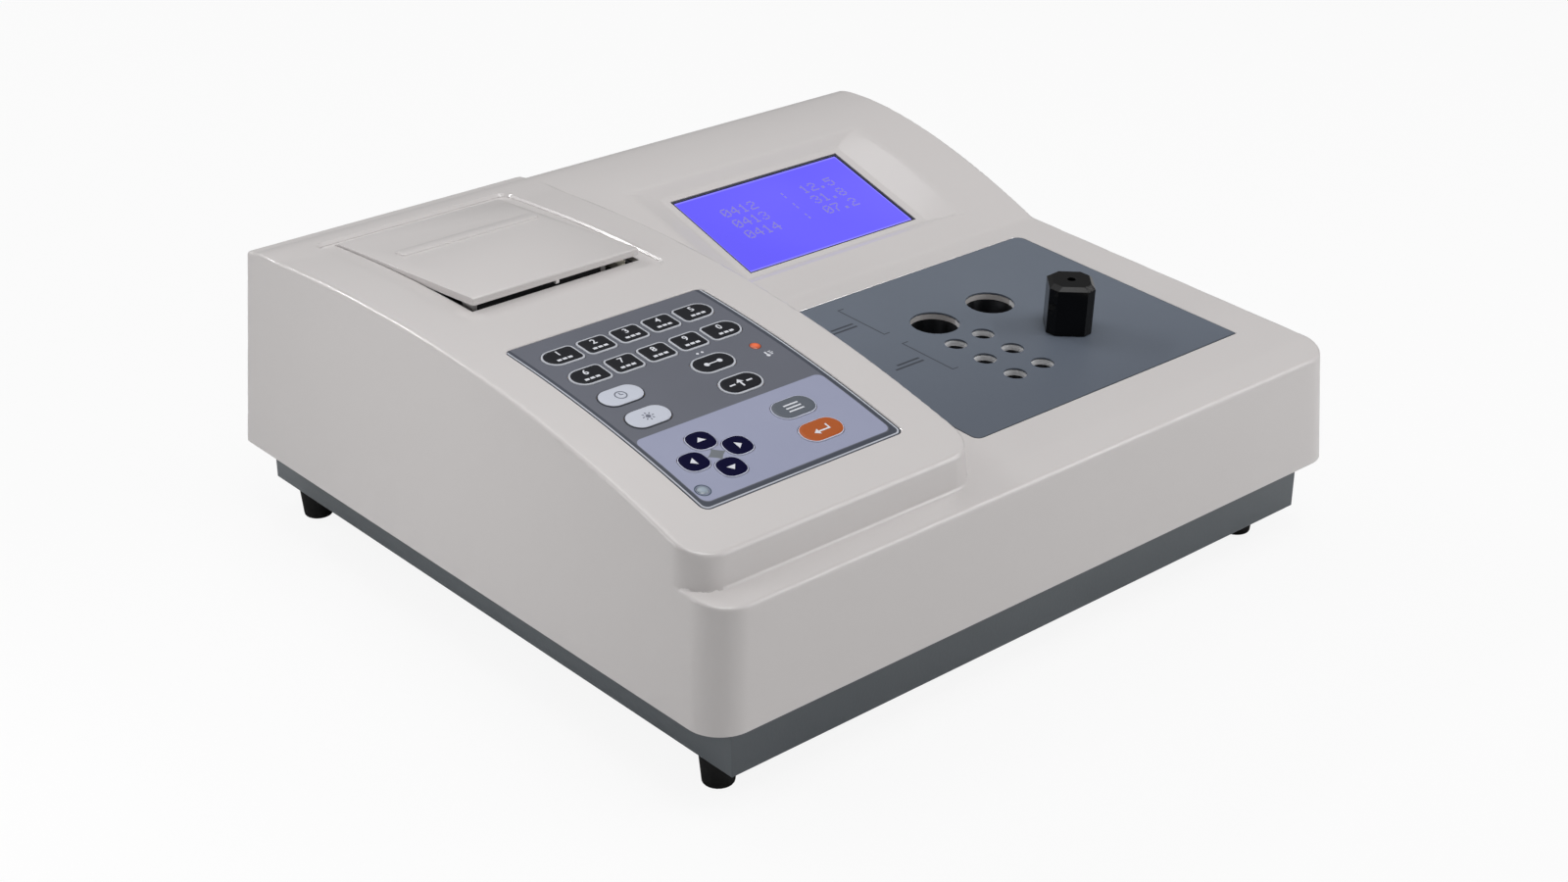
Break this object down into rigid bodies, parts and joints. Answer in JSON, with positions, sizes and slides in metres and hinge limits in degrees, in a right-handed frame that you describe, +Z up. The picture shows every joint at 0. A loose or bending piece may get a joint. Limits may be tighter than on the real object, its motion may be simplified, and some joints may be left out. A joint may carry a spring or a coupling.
{
  "type": "coagulation analyzer",
  "caption": "Bench blood-clotting analyzer: drafted shell on a sheet chassis, curved keypad column with hinged printer cover, tilted screen, heated sample wells under a shield cap.",
  "frame": {"origin": "middle of the footprint, on the bench under the feet", "axes": "+X to the right along the width, +Y from the front to the rear connectors, +Z up"},
  "size_m": [0.33, 0.3102, 0.1253],
  "materials": {
    "case_plastic": "satin off-white moulded shell",
    "chassis_paint": "satin dark slate paint",
    "foot_rubber": "matte black",
    "bright_steel": "plain",
    "membrane_print": "satin printed film",
    "dark_key_print": "satin printed film",
    "light_key_print": "satin printed film",
    "gray_key_print": "satin printed film",
    "orange_key_print": "satin printed film",
    "navy_key_print": "satin printed film",
    "circuit_film": "polyimide film",
    "red_lens": "clear red lens",
    "gray_lens": "clear gray lens",
    "black_plastic": "polished black moulding",
    "platen_rubber": "matte black",
    "gear_nylon": "natural nylon",
    "paper": "smooth thermal paper",
    "panel_print": "satin printed film",
    "block_metal": "black anodised",
    "mat_silicone": "silicone",
    "screen_glass": "lit blue display behind a clear pane",
    "board_green": "solder mask",
    "bare_sheet": "plain sheet"
  },
  "bodies": {
    "housing": {"upper_case": "case_plastic", "chassis_base": "chassis_paint", "foot_front_left": "foot_rubber", "foot_screw_front_left": "bright_steel", "foot_front_right": "foot_rubber", "foot_screw_front_right": "bright_steel", "foot_rear_left": "foot_rubber", "foot_screw_rear_left": "bright_steel", "foot_rear_right": "foot_rubber", "foot_screw_rear_right": "bright_steel", "keypad_membrane": "membrane_print", "keypad_circuit": "circuit_film", "temperature_lamp": "red_lens", "power_lamp": "gray_lens", "printer_tub": "black_plastic", "cover_hinge_pin": "bright_steel", "printer_motor": "bare_sheet", "print_head": "bare_sheet", "paper_spindle": "black_plastic", "screen_pane": "screen_glass", "screen_module": "black_plastic", "deck_panel": "panel_print", "heater_block": "block_metal", "heater_mat": "mat_silicone", "light_source": "black_plastic", "light_detector": "board_green", "block_stand": "bare_sheet", "main_board": "board_green", "power_supply": "board_green", "power_inlet": "black_plastic", "switch_frame": "black_plastic", "serial_port": "bare_sheet"},
    "key_1_pad": {"key_1": "dark_key_print"},
    "key_2_pad": {"key_2": "dark_key_print"},
    "key_3_pad": {"key_3": "dark_key_print"},
    "key_4_pad": {"key_4": "dark_key_print"},
    "key_5_pad": {"key_5": "dark_key_print"},
    "key_6_pad": {"key_6": "dark_key_print"},
    "key_7_pad": {"key_7": "dark_key_print"},
    "key_8_pad": {"key_8": "dark_key_print"},
    "key_9_pad": {"key_9": "dark_key_print"},
    "key_0_pad": {"key_0": "dark_key_print"},
    "key_timer_pad": {"key_timer": "light_key_print"},
    "key_optic_pad": {"key_optic": "light_key_print"},
    "key_online_pad": {"key_online": "dark_key_print"},
    "key_feed_pad": {"key_feed": "dark_key_print"},
    "key_menu_pad": {"key_menu": "gray_key_print"},
    "key_enter_pad": {"key_enter": "orange_key_print"},
    "key_up_pad": {"key_up": "navy_key_print"},
    "key_down_pad": {"key_down": "navy_key_print"},
    "key_left_pad": {"key_left": "navy_key_print"},
    "key_right_pad": {"key_right": "navy_key_print"},
    "printer_lid": {"printer_cover": "case_plastic"},
    "platen": {"platen_roller": "platen_rubber", "platen_gear": "gear_nylon"},
    "drive_gear": {"motor_gear": "gear_nylon"},
    "paper": {"paper_roll": "paper"},
    "shield_cap": {"light_shield_cap": "black_plastic"},
    "rocker": {"power_rocker": "black_plastic"},
    "fuse_tray": {"fuse_drawer": "black_plastic"}
  },
  "joints": [
    {"name": "key_1_press", "type": "slide", "parent": "housing", "child": "key_1_pad", "axis": [0, 0.1037, -0.9946], "range_m": [0, 0.00045], "stiffness_N_per_m": 1500},
    {"name": "key_2_press", "type": "slide", "parent": "housing", "child": "key_2_pad", "axis": [0, 0.1037, -0.9946], "range_m": [0, 0.00045], "stiffness_N_per_m": 1500},
    {"name": "key_3_press", "type": "slide", "parent": "housing", "child": "key_3_pad", "axis": [0, 0.1037, -0.9946], "range_m": [0, 0.00045], "stiffness_N_per_m": 1500},
    {"name": "key_4_press", "type": "slide", "parent": "housing", "child": "key_4_pad", "axis": [0, 0.1037, -0.9946], "range_m": [0, 0.00045], "stiffness_N_per_m": 1500},
    {"name": "key_5_press", "type": "slide", "parent": "housing", "child": "key_5_pad", "axis": [0, 0.1037, -0.9946], "range_m": [0, 0.00045], "stiffness_N_per_m": 1500},
    {"name": "key_6_press", "type": "slide", "parent": "housing", "child": "key_6_pad", "axis": [0, 0.1291, -0.9916], "range_m": [0, 0.00045], "stiffness_N_per_m": 1500},
    {"name": "key_7_press", "type": "slide", "parent": "housing", "child": "key_7_pad", "axis": [0, 0.1291, -0.9916], "range_m": [0, 0.00045], "stiffness_N_per_m": 1500},
    {"name": "key_8_press", "type": "slide", "parent": "housing", "child": "key_8_pad", "axis": [0, 0.1291, -0.9916], "range_m": [0, 0.00045], "stiffness_N_per_m": 1500},
    {"name": "key_9_press", "type": "slide", "parent": "housing", "child": "key_9_pad", "axis": [0, 0.1291, -0.9916], "range_m": [0, 0.00045], "stiffness_N_per_m": 1500},
    {"name": "key_0_press", "type": "slide", "parent": "housing", "child": "key_0_pad", "axis": [0, 0.1291, -0.9916], "range_m": [0, 0.00045], "stiffness_N_per_m": 1500},
    {"name": "key_timer_press", "type": "slide", "parent": "housing", "child": "key_timer_pad", "axis": [0, 0.1555, -0.9878], "range_m": [0, 0.00045], "stiffness_N_per_m": 1500},
    {"name": "key_optic_press", "type": "slide", "parent": "housing", "child": "key_optic_pad", "axis": [0, 0.1793, -0.9838], "range_m": [0, 0.00045], "stiffness_N_per_m": 1500},
    {"name": "key_online_press", "type": "slide", "parent": "housing", "child": "key_online_pad", "axis": [0, 0.1555, -0.9878], "range_m": [0, 0.00045], "stiffness_N_per_m": 1500},
    {"name": "key_feed_press", "type": "slide", "parent": "housing", "child": "key_feed_pad", "axis": [0, 0.1793, -0.9838], "range_m": [0, 0.00045], "stiffness_N_per_m": 1500},
    {"name": "key_menu_press", "type": "slide", "parent": "housing", "child": "key_menu_pad", "axis": [0, 0.2062, -0.9785], "range_m": [0, 0.00045], "stiffness_N_per_m": 1500},
    {"name": "key_enter_press", "type": "slide", "parent": "housing", "child": "key_enter_pad", "axis": [0, 0.2271, -0.9739], "range_m": [0, 0.00045], "stiffness_N_per_m": 1500},
    {"name": "key_up_press", "type": "slide", "parent": "housing", "child": "key_up_pad", "axis": [0, 0.2053, -0.9787], "range_m": [0, 0.00045], "stiffness_N_per_m": 1500},
    {"name": "key_down_press", "type": "slide", "parent": "housing", "child": "key_down_pad", "axis": [0, 0.2292, -0.9734], "range_m": [0, 0.00045], "stiffness_N_per_m": 1500},
    {"name": "key_left_press", "type": "slide", "parent": "housing", "child": "key_left_pad", "axis": [0, 0.2205, -0.9754], "range_m": [0, 0.00045], "stiffness_N_per_m": 1500},
    {"name": "key_right_press", "type": "slide", "parent": "housing", "child": "key_right_pad", "axis": [0, 0.2205, -0.9754], "range_m": [0, 0.00045], "stiffness_N_per_m": 1500},
    {"name": "cover_hinge", "type": "hinge", "parent": "housing", "child": "printer_lid", "pos_m": [-0.089, 0.1233, 0.1159], "axis": [-1, 0, 0], "range_deg": [0, 95]},
    {"name": "platen_spin", "type": "hinge", "parent": "printer_lid", "child": "platen", "pos_m": [-0.093, 0.0389, 0.1145], "axis": [1, 0, 0], "continuous": true},
    {"name": "drive_gear_spin", "type": "hinge", "parent": "housing", "child": "drive_gear", "pos_m": [-0.055, 0.0389, 0.10535], "axis": [1, 0, 0], "continuous": true},
    {"name": "paper_spin", "type": "hinge", "parent": "housing", "child": "paper", "pos_m": [-0.089, 0.0909, 0.0958], "axis": [1, 0, 0], "continuous": true},
    {"name": "cap_lift", "type": "slide", "parent": "housing", "child": "shield_cap", "axis": [0, -0.0476, 0.9989], "range_m": [0, 0.04]},
    {"name": "power_rock", "type": "hinge", "parent": "housing", "child": "rocker", "pos_m": [-0.043, 0.1458, 0.0503], "axis": [1, 0, 0], "range_deg": [0, 24]},
    {"name": "fuse_slide", "type": "slide", "parent": "housing", "child": "fuse_tray", "axis": [0, 1, 0], "range_m": [0, 0.012]}
  ],
  "couplings": [
    {"joint": "drive_gear_spin", "follows": "platen_spin", "ratio": -2}
  ]
}
